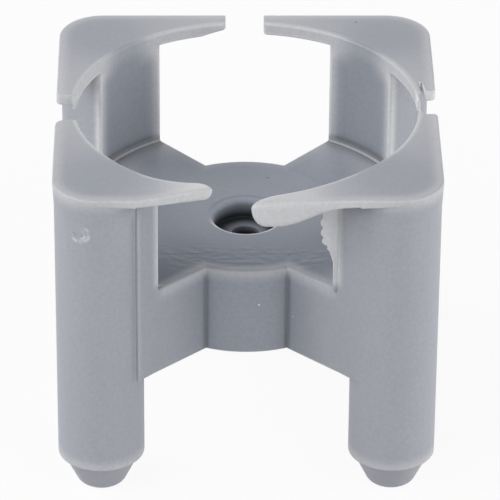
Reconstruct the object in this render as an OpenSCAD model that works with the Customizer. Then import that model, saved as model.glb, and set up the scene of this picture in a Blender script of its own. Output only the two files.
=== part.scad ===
// Four-legged rebar chair, moulded in one piece: a round hub on four arms, a round leg at
// the end of each arm, and on top a square ring of eight horns round an open throat.
// Millimetres, +Z up, origin on the ground under the middle of the chair.

/* [Overall] */
// Height of the bar seat above the ground, measured at the webs
cover = 25; // [20:0.5:40]
// Height of the posts above the bar seat
post_h = 13.9; // [9:0.1:24]
// Diameter of the round throat between the four posts
throat_d = 38.1; // [36:0.1:42]
// Width of the horn ring at the middle of each side
rim_w = 2.1; // [1.6:0.1:3]

/* [Legs and feet] */
// Diameter of the round legs
leg_d = 9.62; // [8.5:0.02:9.7]
// Height over which a leg flares out to meet the ring
flare_h = 2.5; // [1:0.1:4]
// Height of the tapered foot under each leg
foot_h = 4.05; // [3:0.05:6]
// Diameter of the foot where it leaves the leg
foot_top_d = 8.8; // [7.6:0.1:9.4]
// Diameter the foot cone would reach at the ground
foot_end_d = 5; // [4:0.1:6]
// Rounding of the foot where it meets the ground
foot_nose_r = 1.2; // [0.4:0.1:1.6]

/* [Bar seat] */
// Diameter of the round hub
hub_d = 24.5; // [18:0.1:30]
// Width of the diagonal arms and of the webs above them
arm_w = 9.78; // [9.75:0.01:10.5]
// Length over which the sides of arms and webs run out into the legs
arm_blend = 1.2; // [0.6:0.1:1.6]
// Thickness of the hub and of the arms
seat_t = 10.5; // [6:0.1:14]
// How far the hub lies below the outer ends of the arms
seat_sag = 0.35; // [0:0.05:0.8]
// Rounding of the upper edges of hub and arms
seat_edge_r = 0.4; // [0.2:0.05:0.8]
// Fillet between the inner face of a web and its arm
web_root_r = 0.8; // [0.3:0.1:1.5]
// Rounding of the upright inner edges of the webs
web_edge_r = 0.35; // [0.2:0.05:0.8]

/* [Nail hole] */
// Diameter of the hole right through the hub
nail_d = 3.2; // [2:0.1:5]
// Diameter of the recess for the nail head
head_d = 7.3; // [6:0.1:10]
// Depth of the recess
head_depth = 2.4; // [1:0.1:5]
// Rounding of the lip of the recess
lip_r = 0.8; // [0.3:0.1:1]

/* [Horn ring] */
// How far the ring stands out beyond the legs
ring_overhang = 0.15; // [0.05:0.05:0.6]
// Thickness of the ring at the throat
ring_t = 1.4; // [1.2:0.05:2]
// Thickness lost for every millimetre outward
ring_taper = 0.08; // [0:0.005:0.09]
// Rounding of the upper edges of the ring
ring_edge_r = 0.3; // [0.1:0.05:0.4]
// Distance of a full-length horn end from the middle of its side
horn_end = 2.2; // [1.2:0.1:4]
// Rounding of the corners of a horn end
horn_corner_r = 0.5; // [0.2:0.05:0.6]

/* [Uneven horns] */
// End of the short horn on the left side
short_end = 3.5; // [2.2:0.1:4.5]
// Outer corner rounding of the short horn
short_corner_r = 1.2; // [0.6:0.1:1.5]
// End of the nicked horn on the right side
nicked_end = 3.1; // [2.4:0.1:3.5]
// Width of the nick at its mouth
nick_w = 0.6; // [0.3:0.05:0.9]
// Length of the nick
nick_l = 2.2; // [1:0.1:3]
// End of the thin strip that runs on past the nick along the throat
strip_end = 0.9; // [0.5:0.1:2.2]
// Width of that strip
strip_w = 0.35; // [0.25:0.05:0.5]
// Where the two bent front horns leave the flat ring
bend_start = 12; // [10:0.1:12.4]
// End of the front horn that curls up
curled_end = 3.9; // [2.2:0.1:5]
// Rise of the curled horn at its end
curled_rise = 1.25; // [0:0.05:1.5]
// Turn of the curled horn at its end, outer edge up
curled_turn = 18; // [0:1:20]
// End of the front horn that hangs down
hanging_end = 0.3; // [0.2:0.1:2.2]
// Drop of the hanging horn at its end
hanging_drop = 0.45; // [0:0.05:1.5]
// Extra depth of the thick end of the hanging horn
hanging_depth = 1.95; // [0:0.05:2.2]
// How far the underside of the back left horn rises at its end
thinned_rise = 0.65; // [0:0.05:0.8]
// Length over which it rises
thinned_l = 2.8; // [1:0.1:5]

/* [Moulding marks] */
// Thickness of the flash beside the front right web
flash_t = 0.25; // [0.2:0.05:0.4]
// Reach of the flash from the web
flash_w = 1.3; // [0.6:0.1:2]
// Reach of its narrow tail, which runs down to the seat
flash_tail_w = 0.3; // [0.15:0.05:0.5]
// Width of the sink groove down the front left post
sink_d = 0.4; // [0.2:0.05:0.6]
// Diameter of the gate mark on the front left leg
gate_d = 1.5; // [1:0.1:2]

/* [Hidden] */
$fn = 64;
throat_r = throat_d / 2;
ring_half = throat_r + rim_w;            // middle of the chair to a side of the ring
corner_r = leg_d / 2 + ring_overhang;    // corner of the ring, round the leg
leg_at = ring_half - corner_r;           // leg centre along X and along Y
leg_out = leg_at * sqrt(2);              // leg centre along its diagonal
top_z = cover + post_h;
hub_z = cover - seat_sag;
arm_end = leg_out - arm_blend;           // where the sides of arms and webs turn to the legs
web_turn = asin(arm_w / 2 / throat_r);   // half the angle that a web takes of the throat
spur_w = 0.6;                            // spur on the horn opposite the nicked one
spur_l = 0.8;
gate_z = top_z - 4.3;                    // height of the gate mark on the front left leg
gate_turn = 246;                         // direction it faces
sink_from_leg = 0.9;                     // how far inward of the leg the sink groove runs
gate_open = 200;                         // angle that its crescent leaves open at the top
nose_swing = 0.45;                       // share of its width a bent horn's tip moves out
nose_lift = 0.5;                         // height of its tip, as a share of half its depth
deepen_from = 0.15;                      // shares of its length between which it grows
deepen_to = 0.75;                        // deeper
flash_low = 0.25;                        // where the flash starts, as a share of the post height
flash_lobes = [[0.6, 0.22, 0.23], [0.95, 0.34, 0.38], [1, 0.46, 0.46], [1, 0.6, 0.5]];
flash_fill = 0.6;                        // how far the notches between the lobes are filled
bite = 0.02;                             // overlap that keeps two faces from just touching
cut = 1;                                 // how far cutters and hidden joints run past
nail_fn = 48;
throat_fn = 192;

// Points of an arc round a centre, between two angles.
function arc(centre, r, from, to, steps = 6) =
    [for (i = [0:steps]) let (a = from + (to - from) * i / steps) centre + r * [cos(a), sin(a)]];

// Repeats its children along the four diagonals.
module at_corners() {
    for (turn = [45:90:315])
        rotate([0, 0, turn])
            children();
}

// Upright round leg, standing on the origin.
module leg() {
    ring_z = top_z - ring_t / 2;
    translate([0, 0, foot_h])
        cylinder(d = leg_d, h = ring_z - foot_h);
    translate([0, 0, ring_z - flare_h])
        cylinder(d1 = leg_d, r2 = corner_r - bite, h = flare_h);
    foot();
}

// Cone that ends in a rounded nose: the nose arc touches both the ground and the cone.
module foot() {
    lean = atan((foot_top_d - foot_end_d) / 2 / foot_h);
    nose_x = foot_end_d / 2 - foot_nose_r * tan((90 - lean) / 2);
    rotate_extrude()
        polygon(concat(
            [[0, 0]],
            arc([nose_x, foot_nose_r], foot_nose_r, -90, -lean, 8),
            [[foot_top_d / 2, foot_h], [foot_top_d / 2, foot_h + cut], [0, foot_h + cut]]
        ));
}

// Round hub, flat on top, with its upper edge rounded.
module hub() {
    translate([0, 0, hub_z])
        rotate_extrude($fn = 96)
            polygon(concat(
                [[0, -seat_t], [hub_d / 2, -seat_t]],
                arc([hub_d / 2 - seat_edge_r, -seat_edge_r], seat_edge_r, 0, 90),
                [[0, 0]]
            ));
}

// Cross-section of an arm, its upper face at z = 0 and the upper corners rounded.
module arm_section() {
    edge_x = arm_w / 2 - seat_edge_r;
    polygon(concat(
        [[-arm_w / 2, -seat_t], [arm_w / 2, -seat_t]],
        arc([edge_x, -seat_edge_r], seat_edge_r, 0, 90),
        arc([-edge_x, -seat_edge_r], seat_edge_r, 90, 180)
    ));
}

// Arm along +X, sloping gently down from the web to the hub, and its level end under the web.
module arm() {
    level_x = sqrt(pow(hub_d / 2 - seat_edge_r, 2) - pow(arm_w / 2, 2));
    slope = atan(seat_sag / (throat_r - level_x));
    intersection() {
        translate([throat_r, 0, cover])
            rotate([0, -slope, 0])
                translate([hub_d / 4 - throat_r, 0, 0])
                    rotate([90, 0, 90])
                        linear_extrude(throat_r + cut - hub_d / 4)
                            arm_section();
        translate([0, -arm_w, hub_z - seat_t])
            cube([leg_out, 2 * arm_w, 2 * seat_t]);
    }
    translate([0, 0, cover - seat_t])
        linear_extrude(seat_t)
            arm_plan(throat_r + cut / 2);
}

// Plan of an arm along +X from x = inner to the middle of the leg, where its sides run out
// just inside the leg.
module arm_plan(inner) {
    end_y = leg_d / 2 - bite;
    polygon([
        [inner, -arm_w / 2], [arm_end, -arm_w / 2], [leg_out, -end_y],
        [leg_out, end_y], [arm_end, arm_w / 2], [inner, arm_w / 2]
    ]);
}

// Fillet between the inner face of a web and the arm, along +X.
module web_root() {
    intersection() {
        translate([0, 0, cover])
            rotate_extrude($fn = throat_fn)
                polygon(concat(
                    [[throat_r + cut / 2, -cut / 2]],
                    [[throat_r + cut / 2, web_root_r]],
                    arc([throat_r - web_root_r, web_root_r], web_root_r, 0, -90),
                    [[throat_r - web_root_r, -cut / 2]]
                ));
        translate([0, seat_edge_r + bite - arm_w / 2, 0])
            cube([leg_out, arm_w - 2 * (seat_edge_r + bite), top_z]);
    }
}

// Leg and solid web along +X, before the throat is cut.
module post_blank() {
    translate([leg_out, 0, 0])
        leg();
    translate([0, 0, cover - cut])
        linear_extrude(post_h + cut - ring_t / 2)
            arm_plan(throat_r - 2 * cut);
}

// What the rounding of the upright inner edges takes from a web along +X.
module web_edge_cut() {
    edge_y = arm_w / 2 - web_edge_r;
    edge_x = sqrt(pow(throat_r + web_edge_r - bite, 2) - pow(edge_y, 2));
    for (side = [0, 1])
        mirror([0, side, 0])
            translate([0, 0, cover - 2 * cut])
                linear_extrude(post_h + 2 * cut)
                    polygon(concat(
                        [[edge_x, edge_y + web_edge_r + cut]],
                        arc([edge_x, edge_y], web_edge_r, 90, 180 + atan2(edge_y, edge_x)),
                        [[edge_x - 2 * cut, edge_y], [edge_x - 2 * cut, edge_y + web_edge_r + cut]]
                    ));
}

// Plan of the whole ring before the throat is cut: a square whose corners follow the legs.
module ring_plan() {
    square(2 * leg_at, center = true);
    for (turn = [0:90:270])
        rotate(turn) {
            translate([0, -leg_at])
                square([ring_half, 2 * leg_at]);
            translate([leg_at, leg_at])
                circle(r = corner_r);
        }
}

// Outline of a horn end at x = end beside the +Y side, from the throat to the outer face.
function horn_end_points(end, outer_r) =
    let (
        x = end + horn_corner_r,
        y_in = sqrt(pow(throat_r + horn_corner_r - bite, 2) - x * x)
    )
    concat(
        arc([x, y_in], horn_corner_r, 180 + atan2(y_in, x), 180),
        arc([end + outer_r, ring_half - outer_r], outer_r, 180, 90)
    );

// Gap at the middle of the +Y side, between horns that end at x = -left and x = right.
module gap_plan(left, right, left_r = horn_corner_r) {
    near = horn_end_points(right, horn_corner_r);
    far = [for (p = horn_end_points(left, left_r)) [-p[0], p[1]]];
    last = len(far) - 1;
    polygon(concat(
        [[near[0][0], throat_r / 2]],
        near,
        [[near[last][0], ring_half + cut], [far[last][0], ring_half + cut]],
        [for (i = [last:-1:0]) far[i]],
        [[far[0][0], throat_r / 2]]
    ));
}

// What is left of a gap's plan along the throat, from y = from to y = to on the +X side.
module strip_plan(width, from, to) {
    intersection() {
        circle(r = throat_r + width, $fn = throat_fn);
        translate([throat_r - cut, from])
            square([2 * cut, to - from]);
    }
}

// Gap on the right side: the back horn ends in a nick beside a thin strip, and the front
// horn in a small spur.
module right_gap_plan() {
    nick_x = throat_r + strip_w;
    nick_lean = strip_w / 3;
    nick_corner = 0.8 * nick_l;
    difference() {
        rotate(-90)
            gap_plan(nicked_end, horn_end);
        strip_plan(strip_w, strip_end, nicked_end + cut);
        strip_plan(spur_w, -horn_end - cut, spur_l - horn_end);
    }
    polygon([
        [nick_x, nicked_end - cut],
        [nick_x + nick_w, nicked_end - cut],
        [nick_x + nick_w, nicked_end],
        [nick_x + nick_w / 2, nicked_end + nick_l],
        [nick_x - nick_lean, nicked_end + nick_corner]
    ]);
}

// Gap on the left side: the front horn is short, and the back one ends in a small spur.
module left_gap_plan() {
    difference() {
        rotate(90)
            gap_plan(short_end, horn_end, short_corner_r);
        rotate(180)
            strip_plan(strip_w, -horn_end - cut, spur_l - horn_end);
    }
}

// What the rounding takes from an upper edge whose outer face lies at x = 0.
module edge_section() {
    polygon(concat(
        [[cut, cut], [-ring_edge_r, cut]],
        arc([-ring_edge_r, -ring_edge_r], ring_edge_r, 90, 0),
        [[cut, -ring_edge_r]]
    ));
}

// Square plate with a rounded upper edge and an underside that rises outward, parted by
// the gaps; the front side is left out between the places where its two horns bend, and a
// wedge thins the end of the back left horn from below.
module ring_blank() {
    under_r = 1.5 * ring_half;
    translate([0, 0, top_z])
        difference() {
            translate([0, 0, -2 * ring_t])
                linear_extrude(2 * ring_t)
                    difference() {
                        ring_plan();
                        gap_plan(horn_end, horn_end);
                        left_gap_plan();
                        right_gap_plan();
                        translate([-bend_start, -ring_half - cut])
                            square([2 * bend_start, ring_half]);
                    }
            translate([0, ring_half + cut, 0])
                rotate([90, 0, 0])
                    linear_extrude(ring_half)
                        polygon([
                            [-horn_end - thinned_l, -ring_t],
                            [cut - horn_end, -ring_t + thinned_rise * (1 + cut / thinned_l)],
                            [cut - horn_end, -2 * ring_t],
                            [-horn_end - thinned_l, -2 * ring_t]
                        ]);
            rotate_extrude($fn = throat_fn)
                polygon([
                    [0, -3 * ring_t],
                    [under_r, -3 * ring_t],
                    [under_r, -ring_t + ring_taper * (under_r - throat_r)],
                    [throat_r - cut, -ring_t - ring_taper * cut],
                    [0, -ring_t - ring_taper * cut]
                ]);
            for (turn = [0:90:270])
                rotate([0, 0, turn]) {
                    translate([leg_at, leg_at, 0])
                        rotate_extrude(angle = 90)
                            translate([corner_r, 0])
                                edge_section();
                    translate([ring_half, leg_at, 0])
                        rotate([90, 0, 0])
                            linear_extrude(2 * leg_at)
                                edge_section();
                }
        }
}

// Round throat above the arms, with the rounded edge where it comes out of the ring.
module throat() {
    translate([0, 0, top_z])
        rotate_extrude($fn = throat_fn)
            polygon(concat(
                [[0, -post_h - 2 * cut], [throat_r, -post_h - 2 * cut]],
                arc([throat_r + ring_edge_r, -ring_edge_r], ring_edge_r, 180, 90),
                [[throat_r + ring_edge_r, cut], [0, cut]]
            ));
}

// Sheet of flash that squeezed out beside the front right web, where the core of the throat
// met the mould.  Each lobe of its scalloped edge gives the reach and the radius as shares
// of flash_w, and between them the height as a share of the sheet's own.
module flash() {
    function reach(lobe) = flash_w * (lobe[0] + flash_fill * lobe[2]);
    foot = cover - seat_edge_r / 2;
    low = cover + flash_low * post_h;
    span = top_z - ring_t - low;
    top = top_z - ring_t / 2 - 5 * bite;
    last = flash_lobes[len(flash_lobes) - 1];
    intersection() {
        rotate_extrude($fn = throat_fn)
            translate([throat_r - cut, foot])
                square([cut + flash_t, top - foot]);
        rotate([0, 0, -45 - web_turn])
            translate([throat_r - 2 * cut, 0, 0])
                rotate([90, 0, 90])
                    linear_extrude(4 * cut) {
                        polygon(concat(
                            [[cut, foot - cut], [-flash_tail_w, foot - cut], [-flash_tail_w, low]],
                            [for (lobe = flash_lobes) [-reach(lobe), low + span * lobe[1]]],
                            [[-flash_w * last[0], top + cut], [cut, top + cut]]
                        ));
                        for (lobe = flash_lobes)
                            translate([-flash_w * lobe[0], low + span * lobe[1]])
                                circle(r = flash_w * lobe[2], $fn = 24);
                    }
    }
}

// Sink groove down the front of the front left post, where its web meets the leg.
module sink_groove() {
    low = cover - seat_t - cut;
    rotate([0, 0, 225])
        translate([leg_out - sink_from_leg, leg_d / 2 + sink_d / 4, low])
            cylinder(d = sink_d, h = top_z - ring_t - low, $fn = 16);
}

// Crescent-shaped gate mark on a leg standing on the origin.
module gate_mark() {
    rotate([0, 0, gate_turn])
        translate([leg_d / 2, 0, gate_z])
            rotate([0, 90, 0])
                rotate([0, 0, gate_open / 2 - 180])
                    rotate_extrude(angle = 360 - gate_open)
                        translate([gate_d / 2, 0])
                            circle(d = gate_d / 6, $fn = 16);
}

// The four posts and the ring that joins their tops, hollowed by the throat.
module crown() {
    difference() {
        union() {
            at_corners()
                difference() {
                    post_blank();
                    web_edge_cut();
                }
            ring_blank();
            flash();
        }
        throat();
    }
}

// Horn that starts inside the flat ring and runs to x = end beside the +Y side, as a row
// of rounded sections.  It rises by rise and tips its outer edge up by turn, grows deeper by
// deepen, and its edges grow rounder by soften.  Its inner edge swings out over swing_l, and
// its tip is blunted over nose_l.
module bent_horn(end, rise, turn, deepen, soften, nose_l, swing_l) {
    overlap = 0.4;
    inset = 0.015;
    stations = 18;
    corner_steps = 3;
    soft_start = 0.25;
    length = bend_start - end;
    function along(i) = end + (length + overlap) * (1 - sin(90 * i / stations));
    function share(x) = max(0, bend_start - x) / length;
    function bend(x) = let (t = share(x)) t * t * (1 + soft_start) / (t + soft_start);
    function swell(x) =
        let (t = min(1, max(0, (share(x) - deepen_from) / (deepen_to - deepen_from))))
        t * t * (3 - 2 * t);
    function near_end(x, reach) = max(0, 1 - (x - end) / reach);
    function section(i) =
        let (
            x = along(i),
            y_throat = sqrt(throat_r * throat_r - x * x),
            y_in = y_throat + (ring_half - y_throat) * nose_swing * pow(near_end(x, swing_l), 1.5),
            y_mid = (y_in + ring_half) / 2,
            depth = ring_t - ring_taper * (norm([x, y_mid]) - throat_r)
                + deepen * swell(x),
            half_w = (ring_half - y_in) / 2 - inset,
            half_t = depth / 2 - inset,
            edge_r = min(0.9 * half_w, 0.9 * half_t, ring_edge_r + soften * bend(x)),
            lean = ring_taper * y_mid / norm([x, y_mid]),
            blunt = sqrt(max(0.0004, 1 - pow(near_end(x, nose_l), 2))),
            tilt = turn * bend(x),
            z_mid = top_z - depth / 2 + rise * bend(x)
        )
        [for (quarter = [0:3], j = [0:corner_steps])
            let (
                a = 90 * (quarter + j / corner_steps),
                side = quarter == 0 || quarter == 3 ? 1 : -1,
                level = quarter < 2 ? 1 : -1,
                y = side * (half_w - edge_r) + edge_r * cos(a),
                z = level * (half_t - edge_r) + edge_r * sin(a),
                u = y * blunt,
                v = half_t * nose_lift + (z - half_t * nose_lift) * blunt
                    + lean * y * (half_t - z) / (2 * half_t)
            )
            [x, y_mid + u * cos(tilt) - v * sin(tilt), z_mid + u * sin(tilt) + v * cos(tilt)]];
    points = 4 * (corner_steps + 1);
    polyhedron(
        points = [for (i = [0:stations]) each section(i)],
        faces = concat(
            [[for (k = [points - 1:-1:0]) k]],
            [[for (k = [0:points - 1]) stations * points + k]],
            [for (i = [0:stations - 1], k = [0:points - 1])
                let (next = (k + 1) % points)
                [i * points + k, i * points + next, (i + 1) * points + next, (i + 1) * points + k]]
        ),
        convexity = 4
    );
}

// Hole through the hub with a round recess above it, whose lip is rounded.
module nail_hole() {
    translate([0, 0, hub_z]) {
        translate([0, 0, -seat_t - cut])
            cylinder(d = nail_d, h = seat_t + cut, $fn = nail_fn);
        rotate_extrude()
            polygon(concat(
                [[0, -head_depth], [head_d / 2, -head_depth]],
                arc([head_d / 2 + lip_r, -lip_r], lip_r, 180, 90, 8),
                [[head_d / 2 + lip_r, cut], [0, cut]]
            ));
    }
}

module chair() {
    color([0.62, 0.64, 0.67])
        difference() {
            union() {
                crown();
                hub();
                at_corners() {
                    arm();
                    web_root();
                }
                translate([-leg_at, -leg_at, 0])
                    gate_mark();
                mirror([0, 1, 0])
                    bent_horn(
                        end = hanging_end, rise = -hanging_drop, turn = 0,
                        deepen = hanging_depth, soften = 0.6, nose_l = 1.7, swing_l = 2.8
                    );
                rotate([0, 0, 180])
                    bent_horn(
                        end = curled_end, rise = curled_rise, turn = curled_turn,
                        deepen = 0.15, soften = 0.1, nose_l = 0.9, swing_l = 1.6
                    );
            }
            nail_hole();
            sink_groove();
        }
}

chair();
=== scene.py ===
import bpy
from math import cos, radians, sin
from mathutils import Matrix, Vector

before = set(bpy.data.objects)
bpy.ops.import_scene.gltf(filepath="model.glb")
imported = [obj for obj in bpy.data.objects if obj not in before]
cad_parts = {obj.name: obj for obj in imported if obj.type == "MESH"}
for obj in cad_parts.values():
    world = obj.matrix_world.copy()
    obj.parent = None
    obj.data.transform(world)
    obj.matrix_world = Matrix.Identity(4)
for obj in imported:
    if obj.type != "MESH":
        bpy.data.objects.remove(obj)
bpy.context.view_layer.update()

bpy.ops.object.select_all(action="DESELECT")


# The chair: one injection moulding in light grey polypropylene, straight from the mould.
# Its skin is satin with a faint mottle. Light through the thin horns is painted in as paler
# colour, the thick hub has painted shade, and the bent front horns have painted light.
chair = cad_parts["chair"]

# Radii from the upright axis, and the legs' distance from it along X and along Y.
BORE_R = 0.0016
LIP_R = 0.00445
HUB_R = 0.01224
THROAT_R = 0.01905
LEG_AT = 0.01618
# An arm or web lies along a diagonal, and its sides are where |X| and |Y| differ by this.
ARM_SIDE = 0.00691
# Heights above the floor.
FOOT_TOP = 0.0040
RECESS_FLOOR = 0.02225
SEAT_TOP = 0.02465
WEB_FOOT = 0.0250
WEB_HEAD = 0.0364
RING_UNDERSIDE = 0.0375
RING_TOP = 0.0389

plastic = bpy.data.materials.new("grey_polypropylene")
plastic.use_nodes = True
nodes = plastic.node_tree.nodes
links = plastic.node_tree.links
skin = nodes["Principled BSDF"]
skin.inputs["IOR"].default_value = 1.49
skin.inputs["Specular IOR Level"].default_value = 0.4
place = nodes.new("ShaderNodeTexCoord").outputs["Object"]
normal = nodes.new("ShaderNodeNewGeometry").outputs["Normal"]


def wire(value, socket):
    if hasattr(value, "is_output"):
        links.new(value, socket)
    else:
        socket.default_value = value


def maths(operation, a, b=0.0):
    node = nodes.new("ShaderNodeMath")
    node.operation = operation
    wire(a, node.inputs[0])
    wire(b, node.inputs[1])
    return node.outputs["Value"]


def all_of(*masks):
    result = masks[0]
    for mask in masks[1:]:
        result = maths("MULTIPLY", result, mask)
    return result


def any_of(*masks):
    result = masks[0]
    for mask in masks[1:]:
        result = maths("MAXIMUM", result, mask)
    return result


def all_but(mask, share=1.0):
    return maths("SUBTRACT", 1.0, maths("MULTIPLY", mask, share))


def size_of(value):
    return maths("ABSOLUTE", value)


def gap_between(a, b):
    return size_of(maths("SUBTRACT", a, b))


def reach(a, b):
    return maths("SQRT", maths("ADD", maths("MULTIPLY", a, a), maths("MULTIPLY", b, b)))


def vector_maths(operation, a, b):
    node = nodes.new("ShaderNodeVectorMath")
    node.operation = operation
    wire(a, node.inputs[0])
    wire(b, node.inputs[1])
    return node.outputs["Value"]


def split_vector(vector):
    node = nodes.new("ShaderNodeSeparateXYZ")
    links.new(vector, node.inputs["Vector"])
    return node.outputs


# A soft step: at_low where the value is low, at_high where it is high. Low may be the larger
# of the two numbers, and then the step goes down as the value grows.
def ease(value, low, high, at_low=0.0, at_high=1.0):
    node = nodes.new("ShaderNodeMapRange")
    node.interpolation_type = "SMOOTHSTEP"
    node.inputs["From Min"].default_value = low
    node.inputs["From Max"].default_value = high
    node.inputs["To Min"].default_value = at_low
    node.inputs["To Max"].default_value = at_high
    links.new(value, node.inputs["Value"])
    return node.outputs["Result"]


# One soft step up and one down: full between the two middle numbers, nothing past the outer.
def band(value, start, full, still_full, end):
    return all_of(ease(value, start, full), ease(value, end, still_full))


def noise(scale, detail=2.0, roughness=0.5, stretch=(1, 1, 1)):
    spread = nodes.new("ShaderNodeMapping")
    spread.inputs["Scale"].default_value = stretch
    links.new(place, spread.inputs["Vector"])
    node = nodes.new("ShaderNodeTexNoise")
    node.inputs["Scale"].default_value = scale
    node.inputs["Detail"].default_value = detail
    node.inputs["Roughness"].default_value = roughness
    links.new(spread.outputs["Vector"], node.inputs["Vector"])
    return node.outputs["Fac"]


def blend(kind, share, a, b):
    node = nodes.new("ShaderNodeMix")
    node.data_type = "RGBA"
    node.blend_type = kind
    wire(share, node.inputs["Factor"])
    wire(a, node.inputs["A"])
    wire(b, node.inputs["B"])
    return node.outputs["Result"]


def tint(tone, mask, colour, share=1.0):
    return blend("MIX", maths("MULTIPLY", mask, share), tone, colour)


position = split_vector(place)
x = position["X"]
y = position["Y"]
z = position["Z"]
off_x = size_of(x)
off_y = size_of(y)
off_diagonal = gap_between(off_x, off_y)
to_axis = reach(x, y)
past_leg_x = maths("SUBTRACT", off_x, LEG_AT)
past_leg_y = maths("SUBTRACT", off_y, LEG_AT)
facing = split_vector(normal)
faces_up = ease(facing["Z"], 0.60, 0.95)
faces_front = ease(facing["Y"], -0.30, -0.80)

# Horns are thin towards their tips, where |X| or |Y| is small, and are painted paler there for
# the light passing through. The hub and the ring over the legs are thick and get painted shade.
GREY = (0.405, 0.418, 0.462, 1)
THIN_LIT_GREY = (0.480, 0.488, 0.516, 1)
THICK_SHADED_GREY = (0.320, 0.340, 0.388, 1)
in_ring = ease(z, RING_UNDERSIDE - 0.0025, RING_UNDERSIDE - 0.0003)
to_horn_gap = maths("MINIMUM", off_x, off_y)
thin_horn_light = all_of(ease(to_horn_gap, 0.0130, 0.0020), in_ring)
in_seat = all_of(ease(to_axis, 0.0180, 0.0120), ease(z, WEB_FOOT + 0.0040, WEB_FOOT + 0.0005))
over_leg = all_of(
    ease(reach(past_leg_x, past_leg_y), 0.0070, 0.0020, at_high=0.8),
    ease(z, RING_TOP - 0.0005, RING_TOP - 0.0001),
)
tone = tint(GREY, thin_horn_light, THIN_LIT_GREY)
tone = tint(tone, any_of(in_seat, over_leg), THICK_SHADED_GREY)

# Painted shade darkens the throat side of each web along its middle.
near_throat = band(
    to_axis,
    THROAT_R - 0.00055,
    THROAT_R - 0.00025,
    THROAT_R + 0.00015,
    THROAT_R + 0.00075,
)
web_middle_shade = all_of(
    ease(off_diagonal, 0.0062, 0.0035),
    band(z, WEB_FOOT, WEB_FOOT + 0.0012, WEB_HEAD, WEB_HEAD + 0.0018),
    near_throat,
)
tone = tint(tone, web_middle_shade, THICK_SHADED_GREY)

# Painted shade makes the seat darker than the rest, and darkest at its front and on its front
# left arm. Painted light makes its back right arm paler.
SEAT_SHADED_GREY = (0.270, 0.295, 0.350, 1)
SEAT_FRONT_SHADED_GREY = (0.205, 0.230, 0.285, 1)
seat_top = all_of(in_seat, faces_up)
arm_top = all_of(
    ease(to_axis, HUB_R - 0.00124, HUB_R + 0.00076),
    band(z, WEB_FOOT - 0.0012, WEB_FOOT - 0.0008, WEB_FOOT + 0.0002, WEB_FOOT + 0.0006),
    faces_up,
)
toward_back_right = maths("ADD", x, y)
tone = tint(tone, seat_top, SEAT_SHADED_GREY)
tone = tint(tone, all_of(seat_top, ease(y, -0.0010, -0.0120)), SEAT_FRONT_SHADED_GREY)
tone = tint(tone, all_of(arm_top, ease(toward_back_right, -0.0080, -0.0200)), SEAT_FRONT_SHADED_GREY)
tone = tint(tone, all_of(arm_top, ease(toward_back_right, 0.0080, 0.0240)), GREY, share=0.30)

# Painted shade darkens the fillet at each web's foot, with one thin painted highlight along it.
SHADE_BLACK = (0.0, 0.0, 0.0, 1)
web_foot_reach = band(
    to_axis,
    THROAT_R - 0.00095,
    THROAT_R - 0.00065,
    THROAT_R + 0.00005,
    THROAT_R + 0.00025,
)
web_foot_shade = all_of(
    band(z, WEB_FOOT, WEB_FOOT + 0.00005, WEB_FOOT + 0.0006, WEB_FOOT + 0.0012),
    web_foot_reach,
)
foot_highlight_line = all_of(
    band(z, WEB_FOOT + 0.00008, WEB_FOOT + 0.00016, WEB_FOOT + 0.00024, WEB_FOOT + 0.00032),
    web_foot_reach,
)
tone = tint(tone, web_foot_shade, SHADE_BLACK, share=0.42)

# Painted shade darkens the inner corners below the ring, most of all where the arms leave the
# hub. The feet are a little darker below their tops; the nail hole and flash end get no shade.
FLASH_END = (0.00953, -0.01678, 0.02530)
corner = nodes.new("ShaderNodeAmbientOcclusion")
corner.samples = 8
corner.only_local = True
corner.inputs["Distance"].default_value = 0.0028
openness = corner.outputs["AO"]
near_hole = all_of(ease(to_axis, LIP_R + 0.00155, LIP_R + 0.00035), ease(z, 0.0160, 0.0180))
corner_shade = all_of(
    ease(openness, 0.40, 0.95, at_low=0.46, at_high=0.0),
    ease(z, RING_UNDERSIDE + 0.0001, RING_UNDERSIDE - 0.0007),
    all_but(near_hole),
)
hub_corner_shade = all_of(
    ease(gap_between(to_axis, HUB_R), 0.0007, 0.0002),
    ease(z, WEB_FOOT - 0.0006, WEB_FOOT - 0.0014),
    ease(off_diagonal, ARM_SIDE + 0.00069, ARM_SIDE + 0.00009, at_high=0.27),
)
foot_darkening = ease(z, FOOT_TOP, FOOT_TOP - 0.0002, at_high=0.07)

# The front left leg has a shallow upright sink line beside the web, with painted shade on its
# left side and a painted highlight on its right.
SINK_X = -0.01215
SINK_PALE_X = -0.01182
on_leg_front = ease(y, -0.0165, -0.0175)
sink_line = all_of(ease(gap_between(x, SINK_X), 0.0005, 0.0002), ease(y, -0.0175, -0.0185))
sink_zone = all_of(on_leg_front, band(z, 0.0140, 0.0160, 0.0350, 0.0365))
sink_shade = all_of(
    band(x, SINK_X - 0.00080, SINK_X - 0.00015, SINK_X, SINK_X + 0.00010),
    sink_zone,
    0.17,
)
sink_highlight = all_of(ease(gap_between(x, SINK_PALE_X), 0.00025, 0.0001), sink_zone)

# High on the same leg is the gate: a torn round scar, with pale flecks at its lower right.
GATE_X = -0.01815
GATE_Y = -0.02060
GATE_Z = 0.03440
# A pale grey for the gate's flecks, the pale specks and the painted highlights.
HIGHLIGHT_AND_FLECK_GREY = (0.76, 0.765, 0.78, 1)
from_gate = vector_maths("DISTANCE", place, (GATE_X, GATE_Y, GATE_Z))
in_gate = ease(from_gate, 0.00135, 0.00105)
to_lower_right = maths("SUBTRACT", maths("SUBTRACT", x, GATE_X), maths("SUBTRACT", z, GATE_Z))
gate_flecks = all_of(
    in_gate,
    ease(from_gate, 0.00040, 0.00060),
    ease(to_lower_right, -0.0006, 0.0002),
    ease(noise(1700), 0.40, 0.60, at_low=0.10, at_high=0.62),
)

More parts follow.
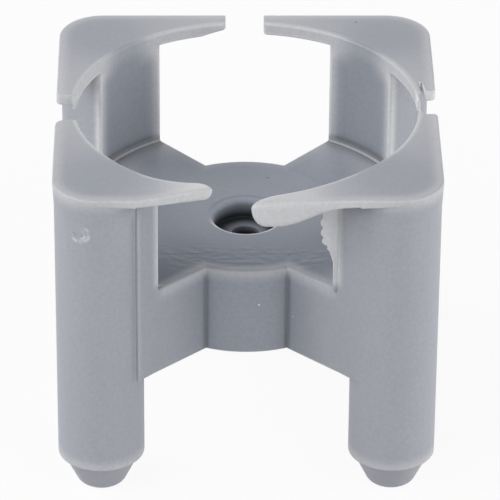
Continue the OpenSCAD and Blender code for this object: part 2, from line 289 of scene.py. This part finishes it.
# Painted shade, in black: the corners, the sink line's left side, and the feet's darker ends.
shade_and_foot_darkening = maths("ADD", corner_shade, hub_corner_shade)
shade_and_foot_darkening = all_of(shade_and_foot_darkening, all_but(sink_line, share=0.6))
shade_and_foot_darkening = any_of(shade_and_foot_darkening, sink_shade, foot_darkening)
shade_and_foot_darkening = all_of(shade_and_foot_darkening, ease(vector_maths("DISTANCE", place, FLASH_END), 0.0006, 0.0012))
shade_and_foot_darkening = all_of(shade_and_foot_darkening, all_but(in_gate))
tone = tint(tone, shade_and_foot_darkening, SHADE_BLACK)
tone = tint(tone, sink_highlight, HIGHLIGHT_AND_FLECK_GREY, share=0.16)
tone = tint(tone, gate_flecks, HIGHLIGHT_AND_FLECK_GREY)

# Painted highlights pale the rounded rims of the seat and of the ring, the ring's sides, the
# border of the ring's top away from the legs, and the lower ends of the legs.
inside_hub = maths("SUBTRACT", HUB_R, to_axis)
inside_arm = maths("MULTIPLY", maths("SUBTRACT", ARM_SIDE, off_diagonal), cos(radians(45)))
seat_rim_highlight = all_of(
    ease(maths("MAXIMUM", inside_hub, inside_arm), 0.0017, 0.0004),
    band(z, WEB_FOOT - 0.0021, WEB_FOOT - 0.0005, WEB_FOOT, WEB_FOOT + 0.0004),
    ease(to_axis, 0.0200, 0.0180),
    ease(y, 0.0020, -0.0060, at_low=0.12, at_high=0.36),
)
ring_rim_highlight = all_of(
    band(facing["Z"], 0.05, 0.50, 0.80, 0.98),
    ease(z, RING_TOP - 0.0005, RING_TOP - 0.0003),
)
from_core = reach(maths("MAXIMUM", past_leg_x, 0.0), maths("MAXIMUM", past_leg_y, 0.0))
ring_border_highlight = all_of(
    ease(from_core, 0.0033, 0.0050, at_high=0.42),
    ease(z, RING_TOP - 0.0005, RING_TOP - 0.0002),
    faces_up,
)
ring_side_highlight = all_of(
    ease(maths("MAXIMUM", off_x, off_y), 0.0185, 0.0195),
    ease(z, RING_UNDERSIDE - 0.0007, RING_TOP, at_high=0.5),
    all_but(faces_up),
)
leg_end_highlight = all_of(
    ease(z, FOOT_TOP + 0.0017, FOOT_TOP + 0.0001, at_high=0.38),
    ease(z, FOOT_TOP - 0.0002, FOOT_TOP),
)
tone = tint(tone, seat_rim_highlight, HIGHLIGHT_AND_FLECK_GREY)
tone = tint(tone, ring_rim_highlight, HIGHLIGHT_AND_FLECK_GREY, share=0.11)
tone = tint(tone, any_of(ring_border_highlight, ring_side_highlight, leg_end_highlight), HIGHLIGHT_AND_FLECK_GREY)

# Painted highlights: a thin pale line along the foot of each web, and another under the back
# of the ring, past the webs.
under_ring_highlight = all_of(
    band(
        z,
        RING_UNDERSIDE - 0.00015,
        RING_UNDERSIDE - 0.00005,
        RING_UNDERSIDE + 0.00020,
        RING_UNDERSIDE + 0.00035,
    ),
    near_throat,
    ease(y, -0.0030, 0.0000),
    ease(off_diagonal, ARM_SIDE - 0.00031, ARM_SIDE + 0.00009),
)
tone = tint(tone, foot_highlight_line, HIGHLIGHT_AND_FLECK_GREY, share=0.35)
tone = tint(tone, under_ring_highlight, HIGHLIGHT_AND_FLECK_GREY, share=0.6)

# Painted shade darkens the nail hole with depth, and painted light pales its ledge again toward
# the bore. A painted highlight pales the front of its lip.
HOLE_LIT_GREY = (0.380, 0.410, 0.475, 1)
HOLE_SHADE_GREY = (0.014, 0.016, 0.021, 1)
below_seat = all_of(near_hole, ease(z, SEAT_TOP, SEAT_TOP - 0.00015))
in_hole = all_of(below_seat, ease(to_axis, LIP_R, LIP_R - 0.0002))
ledge_light = all_of(
    below_seat,
    faces_up,
    ease(to_axis, BORE_R + 0.0016, BORE_R + 0.0001, at_high=0.65),
)
bore_light = all_of(
    ease(to_axis, BORE_R + 0.0002, BORE_R + 0.00005),
    ease(z, RECESS_FLOOR - 0.00105, RECESS_FLOOR + 0.00015, at_high=0.65),
)
wall_light = ease(z, RECESS_FLOOR + 0.00005, SEAT_TOP - 0.00035)
hole_light_and_shade = tint(HOLE_SHADE_GREY, any_of(wall_light, ledge_light, bore_light), HOLE_LIT_GREY)
front_lip_highlight = all_of(
    band(to_axis, LIP_R - 0.00085, LIP_R - 0.00065, LIP_R - 0.00030, LIP_R - 0.00005),
    ease(y, -0.0005, -0.0030),
    ease(z, SEAT_TOP - 0.00085, SEAT_TOP - 0.00055),
)
tone = tint(tone, in_hole, hole_light_and_shade)
tone = tint(tone, front_lip_highlight, HIGHLIGHT_AND_FLECK_GREY, share=0.9)

# Painted highlights pale the upright edges of the webs, and the inner wall of the ring too.
web_edge_highlight = all_of(
    any_of(ease(off_diagonal, 0.0046, 0.0066, at_high=0.6), ease(off_diagonal, 0.0058, 0.0064)),
    band(z, WEB_FOOT, WEB_FOOT + 0.0012, WEB_HEAD, WEB_HEAD + 0.0014),
    band(
        to_axis,
        THROAT_R - 0.00055,
        THROAT_R - 0.00025,
        THROAT_R - 0.00005,
        THROAT_R + 0.00135,
    ),
)
ring_inside_highlight = all_of(near_throat, in_ring, ease(off_diagonal, 0.0010, 0.0065))
tone = tint(tone, web_edge_highlight, HIGHLIGHT_AND_FLECK_GREY)
tone = tint(tone, ring_inside_highlight, HIGHLIGHT_AND_FLECK_GREY, share=0.55)

# Painted light pales the two bent front horns, most of all at their tips and on their front
# faces.
HORN_LIT_GREY = (0.64, 0.645, 0.665, 1)
bent_tip = ease(off_x, 0.0105, 0.0050)
bent_face = all_of(
    ease(off_x, 0.0165, 0.0110),
    faces_front,
    ease(z, RING_UNDERSIDE - 0.0005, RING_UNDERSIDE + 0.0005),
)
bent_horn_light = all_of(
    ease(y, -0.0130, -0.0150),
    any_of(bent_tip, bent_face),
    ease(z, 0.0330, 0.0345),
)
tone = tint(tone, bent_horn_light, HORN_LIT_GREY)

# Painted light makes the walls of the torn nick on the right side near white, and pales the
# ends of the side horns.
NICK_LIT_GREY = (0.88, 0.88, 0.89, 1)
NICK_Y = 0.0032
beside_throat = ease(off_x, THROAT_R - 0.00025, THROAT_R - 0.00005)
on_right = ease(x, THROAT_R - 0.00025, THROAT_R - 0.00005)
lit_nick = all_of(
    on_right,
    ease(gap_between(y, NICK_Y), 0.0028, 0.0026),
    in_ring,
    all_but(faces_up),
)
horn_end_light = all_of(beside_throat, ease(off_y, 0.0050, 0.0046), in_ring, faces_front)
tone = tint(tone, lit_nick, NICK_LIT_GREY)
tone = tint(tone, horn_end_light, HIGHLIGHT_AND_FLECK_GREY, share=0.7)

# Painted highlights pale all sharp outer edges that are open to light.
soft_edge = nodes.new("ShaderNodeBevel")
soft_edge.samples = 8
soft_edge.inputs["Radius"].default_value = 0.00022
soft_normal = soft_edge.outputs["Normal"]
edge_highlight = all_of(
    ease(vector_maths("DOT_PRODUCT", soft_normal, normal), 0.995, 0.86, at_high=0.55),
    ease(openness, 0.70, 0.90),
    all_but(near_hole),
)
tone = tint(tone, edge_highlight, HIGHLIGHT_AND_FLECK_GREY)

# Fine grain lies all over, with a slow drift of tone.
fine = noise(2400, detail=3, roughness=0.6)
cloud = noise(110, detail=3, roughness=0.55, stretch=(1, 1, 0.45))
tone = blend("MULTIPLY", 1.0, tone, ease(fine, 0.25, 0.75, at_low=0.95, at_high=1.05))
tone = blend("MULTIPLY", 1.0, tone, ease(cloud, 0.3, 0.7, at_low=0.985, at_high=1.01))
links.new(ease(fine, 0.2, 0.8, at_low=0.44, at_high=0.58), skin.inputs["Roughness"])

# A few dark specks of dirt are in the melt, and a few pale ones on the sides of the hub.
SPECK_GREY = (0.16, 0.17, 0.19, 1)
specks = nodes.new("ShaderNodeTexVoronoi")
specks.inputs["Scale"].default_value = 230
links.new(place, specks.inputs["Vector"])
from_speck = specks.outputs["Distance"]
chance = nodes.new("ShaderNodeSeparateColor")
links.new(specks.outputs["Color"], chance.inputs["Color"])
dark_speck = all_of(ease(from_speck, 0.045, 0.025), ease(chance.outputs["Red"], 0.80, 0.82))
pale_speck = all_of(
    ease(from_speck, 0.035, 0.020),
    ease(chance.outputs["Green"], 0.86, 0.88),
    in_seat,
    all_but(faces_up),
)
tone = tint(tone, dark_speck, SPECK_GREY, share=0.85)
tone = tint(tone, pale_speck, HIGHLIGHT_AND_FLECK_GREY, share=0.9)

# Two larger dark specks are on top of the hub, and two pale ones on its front.
HUB_SPECKS = [
    (SPECK_GREY, 0.9, 0.00021, (0.00258, 0.00830, SEAT_TOP)),
    (SPECK_GREY, 0.4, 0.00018, (-0.00238, 0.00516, SEAT_TOP)),
    (HIGHLIGHT_AND_FLECK_GREY, 1.0, 0.00014, (0.00134, -0.01217, 0.02028)),
    (HIGHLIGHT_AND_FLECK_GREY, 0.6, 0.00013, (0.00514, -0.01205, 0.01866)),
]
for colour, share, radius, middle in HUB_SPECKS:
    inside = ease(vector_maths("DISTANCE", place, middle), radius, radius * 0.6)
    tone = tint(tone, inside, colour, share)
links.new(tone, skin.inputs["Base Color"])

# Flow ripples cross the front of the seat, between the nail hole and the rim.
ripples = nodes.new("ShaderNodeBump")
ripples.inputs["Distance"].default_value = 0.00013
ripple_zone = all_of(seat_top, ease(y, -0.0055, -0.0085), ease(to_axis, 0.0160, 0.0130))
links.new(ripple_zone, ripples.inputs["Strength"])
links.new(noise(1300, stretch=(0.6, 1, 1)), ripples.inputs["Height"])
links.new(soft_normal, ripples.inputs["Normal"])

grain = nodes.new("ShaderNodeBump")
grain.inputs["Strength"].default_value = 0.12
grain.inputs["Distance"].default_value = 0.0001
links.new(fine, grain.inputs["Height"])
links.new(ripples.outputs["Normal"], grain.inputs["Normal"])
links.new(grain.outputs["Normal"], skin.inputs["Normal"])

for slot in chair.material_slots:
    slot.material = plastic


# The table it stands on and the white paper behind: one pale sheet, which keeps a faint
# shadow under the feet and is seen as plain white. The room round it is white as well, and
# lights the chair only a little.
SHEET_SIZE = 2.4
PAPER_WHITE = (0.9, 0.9, 0.9, 1)
PAPER_SEEN_WHITE = 0.92
ROOM_LIGHT = 0.02


def seen_directly(tree):
    path = tree.nodes.new("ShaderNodeLightPath")
    seen = path.outputs["Is Camera Ray"]
    for ray in ("Is Glossy Ray", "Is Transmission Ray"):
        larger = tree.nodes.new("ShaderNodeMath")
        larger.operation = "MAXIMUM"
        tree.links.new(seen, larger.inputs[0])
        tree.links.new(path.outputs[ray], larger.inputs[1])
        seen = larger.outputs["Value"]
    return seen


bpy.ops.mesh.primitive_plane_add(size=SHEET_SIZE, location=(0, 0, 0))
sheet = bpy.context.object
sheet.name = "floor"
paper = bpy.data.materials.new("white_paper")
paper.use_nodes = True
paper_nodes = paper.node_tree.nodes
paper_links = paper.node_tree.links
paper_skin = paper_nodes["Principled BSDF"]
paper_skin.inputs["Base Color"].default_value = PAPER_WHITE
paper_skin.inputs["Roughness"].default_value = 0.9
paper_glow = paper_nodes.new("ShaderNodeEmission")
paper_share = paper_nodes.new("ShaderNodeMath")
paper_share.operation = "MULTIPLY"
paper_share.inputs[1].default_value = PAPER_SEEN_WHITE
paper_mix = paper_nodes.new("ShaderNodeMixShader")
paper_links.new(seen_directly(paper.node_tree), paper_share.inputs[0])
paper_links.new(paper_share.outputs["Value"], paper_mix.inputs["Fac"])
paper_links.new(paper_skin.outputs["BSDF"], paper_mix.inputs[1])
paper_links.new(paper_glow.outputs["Emission"], paper_mix.inputs[2])
paper_links.new(paper_mix.outputs["Shader"], paper_nodes["Material Output"].inputs["Surface"])
sheet.data.materials.append(paper)

world = bpy.data.worlds.new("soft_room")
bpy.context.scene.world = world
world.use_nodes = True
room = world.node_tree.nodes["Background"]
room.inputs["Color"].default_value = (1, 1, 1, 1)
room_strength = world.node_tree.nodes.new("ShaderNodeMapRange")
room_strength.inputs["To Min"].default_value = ROOM_LIGHT
room_strength.inputs["To Max"].default_value = 1.0
world.node_tree.links.new(seen_directly(world.node_tree), room_strength.inputs["Value"])
world.node_tree.links.new(room_strength.outputs["Result"], room.inputs["Strength"])


# The lamps: half-metre softboxes 0.9 m away, high at the left and the front, lower at the
# right and behind, each given by its direction round the chair and its height above it.
LAMP_SIZE = 0.5
LAMP_DISTANCE = 0.9
LAMPS_AIM_AT = Vector((0, 0, 0.02))


def add_softbox(name, azimuth, elevation, power):
    direction = Vector((
        sin(radians(azimuth)) * cos(radians(elevation)),
        -cos(radians(azimuth)) * cos(radians(elevation)),
        sin(radians(elevation)),
    ))
    at = direction * LAMP_DISTANCE
    bpy.ops.object.light_add(type="AREA", location=at)
    lamp = bpy.context.object
    lamp.name = name
    lamp.data.shape = "SQUARE"
    lamp.data.size = LAMP_SIZE
    lamp.data.energy = power
    lamp.rotation_euler = (LAMPS_AIM_AT - at).to_track_quat("-Z", "Y").to_euler()


add_softbox("lamp_front_left", 315, 40, 2.7)
add_softbox("lamp_left", 270, 38, 3.7)
add_softbox("lamp_front_right", 45, 40, 1.7)
add_softbox("lamp_front_right_low", 45, 12, 1.35)
add_softbox("lamp_right_low", 93, 12, 3.35)
add_softbox("lamp_back_low", 180, 12, 1.8)


# The camera stands half a metre away, a little to the left, and looks down on the chair by
# 31 degrees through a long lens. Angles are in degrees, the lens and its sensor in mm.
CAMERA_AZIMUTH = -0.845
CAMERA_ELEVATION = 31.111
CAMERA_ROLL = 0.4
CAMERA_DISTANCE = 0.493899
CAMERA_TARGET = Vector((0.000128, 0.000288, 0.020))
SENSOR = 36
LENS = 314.101152
SHIFT_X = 0.006632
SHIFT_Y = -0.002396

bpy.ops.object.camera_add()
camera = bpy.context.object
camera.data.sensor_width = SENSOR
camera.data.lens = LENS
camera.data.shift_x = SHIFT_X
camera.data.shift_y = SHIFT_Y
camera.data.clip_start = 0.01
camera.data.clip_end = 10
turn = Matrix.Rotation(radians(CAMERA_AZIMUTH), 4, "Z")
turn = turn @ Matrix.Rotation(radians(90 - CAMERA_ELEVATION), 4, "X")
turn = turn @ Matrix.Rotation(radians(CAMERA_ROLL), 4, "Z")
backward = turn @ Vector((0, 0, 1))
camera.matrix_world = Matrix.Translation(CAMERA_TARGET + backward * CAMERA_DISTANCE) @ turn

bpy.context.scene.camera = camera
bpy.context.scene.view_settings.view_transform = "Standard"
